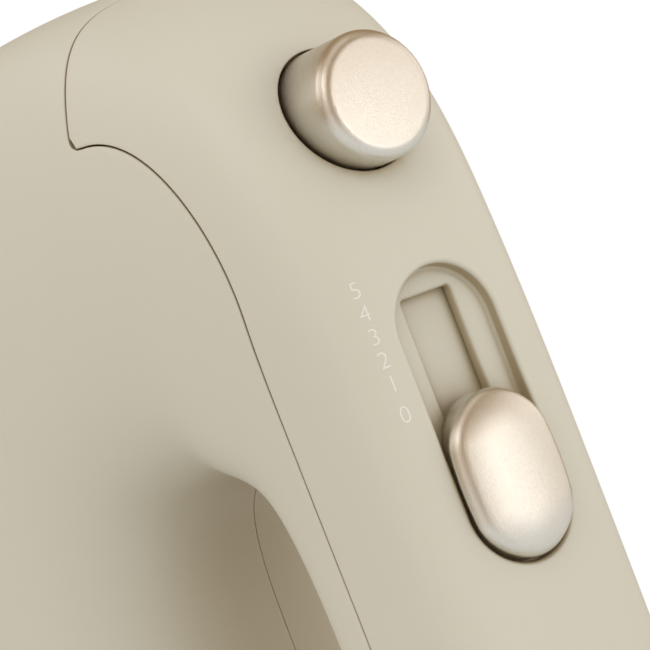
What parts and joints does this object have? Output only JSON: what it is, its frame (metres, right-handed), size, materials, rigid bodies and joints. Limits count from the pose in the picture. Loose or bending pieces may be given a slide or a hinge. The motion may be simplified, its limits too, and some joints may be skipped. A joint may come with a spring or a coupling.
{
  "type": "hand mixer",
  "caption": "Hand mixer on its heel: round housing with finger gap, sliding speed knob, round eject button, two wire beaters.",
  "frame": {"origin": "centre of the heel pad's flat face, which the mixer stands on", "axes": "+Z from the heel to the nose, +X from the beaters to the handle, +Y to the mixer's right; the housing is symmetric about the XZ plane"},
  "size_m": [0.271, 0.0828, 0.203],
  "materials": {
    "cream_plastic": "matte moulded",
    "champagne_metal": "satin champagne",
    "grey_plastic": "matte moulded",
    "dark_rubber": "matte",
    "nylon": "natural nylon",
    "steel": "polished",
    "laminations": "varnished",
    "copper": "enamelled copper",
    "bronze": "sintered",
    "carbon": "graphite",
    "board": "varnished board",
    "film": "moulded film capacitor"
  },
  "bodies": {
    "housing": {"housing_left": "cream_plastic", "housing_right": "cream_plastic", "handle_cover": "cream_plastic", "heel_pad": "dark_rubber", "cord_gland": "grey_plastic", "cord_clamp": "grey_plastic", "left_socket_ring": "grey_plastic", "right_socket_ring": "grey_plastic", "button_guide": "grey_plastic", "housing_screw_1": "steel", "housing_screw_2": "steel", "housing_screw_3": "steel", "housing_screw_4": "steel", "gear_case": "nylon", "gear_cover": "grey_plastic", "stator_core": "laminations", "field_coil_left": "copper", "field_coil_right": "copper", "front_bracket": "grey_plastic", "rear_bracket": "grey_plastic", "front_bush": "bronze", "rear_bush": "bronze", "thrust_bush": "bronze", "brush_holder_left": "bronze", "brush_holder_right": "bronze", "carbon_brush_left": "carbon", "carbon_brush_right": "carbon", "switch_board": "board", "switch_block": "grey_plastic", "speed_capacitor": "film", "terminal_block": "nylon"},
    "speed_slider": {"speed_knob": "champagne_metal", "slider_shutter": "cream_plastic", "contact_wiper": "bronze"},
    "ejector": {"eject_button": "champagne_metal", "push_rod": "nylon", "ejector_yoke": "nylon", "eject_spring": "steel"},
    "armature": {"worm_shaft": "steel", "armature_core": "laminations", "rear_winding": "copper", "front_winding": "copper", "commutator": "copper", "cooling_fan": "grey_plastic"},
    "left_wheel": {"gear_left": "nylon"},
    "right_wheel": {"gear_right": "nylon"},
    "left_beater": {"beater_left": "steel"},
    "right_beater": {"beater_right": "steel"}
  },
  "joints": [
    {"name": "speed_slide", "type": "slide", "parent": "housing", "child": "speed_slider", "axis": [0, 0, 1], "range_m": [0, 0.0196]},
    {"name": "eject_press", "type": "slide", "parent": "housing", "child": "ejector", "axis": [-1, 0, 0], "range_m": [0, 0.008], "stiffness_N_per_m": 600, "springref_m": -0.002, "deforming": ["eject_spring"]},
    {"name": "motor_spin", "type": "hinge", "parent": "housing", "child": "armature", "pos_m": [-0.004, 0, 0.1], "axis": [0, 0, 1], "continuous": true},
    {"name": "left_wheel_spin", "type": "hinge", "parent": "housing", "child": "left_wheel", "pos_m": [-0.004, -0.017, 0.161], "axis": [1, 0, 0], "continuous": true},
    {"name": "right_wheel_spin", "type": "hinge", "parent": "housing", "child": "right_wheel", "pos_m": [-0.004, 0.017, 0.161], "axis": [1, 0, 0], "continuous": true},
    {"name": "left_beater_slide", "type": "slide", "parent": "left_wheel", "child": "left_beater", "axis": [-1, 0, 0], "range_m": [0, 0.008]},
    {"name": "right_beater_slide", "type": "slide", "parent": "right_wheel", "child": "right_beater", "axis": [-1, 0, 0], "range_m": [0, 0.008]}
  ],
  "couplings": [
    {"joint": "left_wheel_spin", "follows": "motor_spin", "ratio": -0.11111},
    {"joint": "right_wheel_spin", "follows": "motor_spin", "ratio": 0.11111},
    {"joint": "left_beater_slide", "follows": "eject_press", "ratio": 1},
    {"joint": "right_beater_slide", "follows": "eject_press", "ratio": 1}
  ]
}
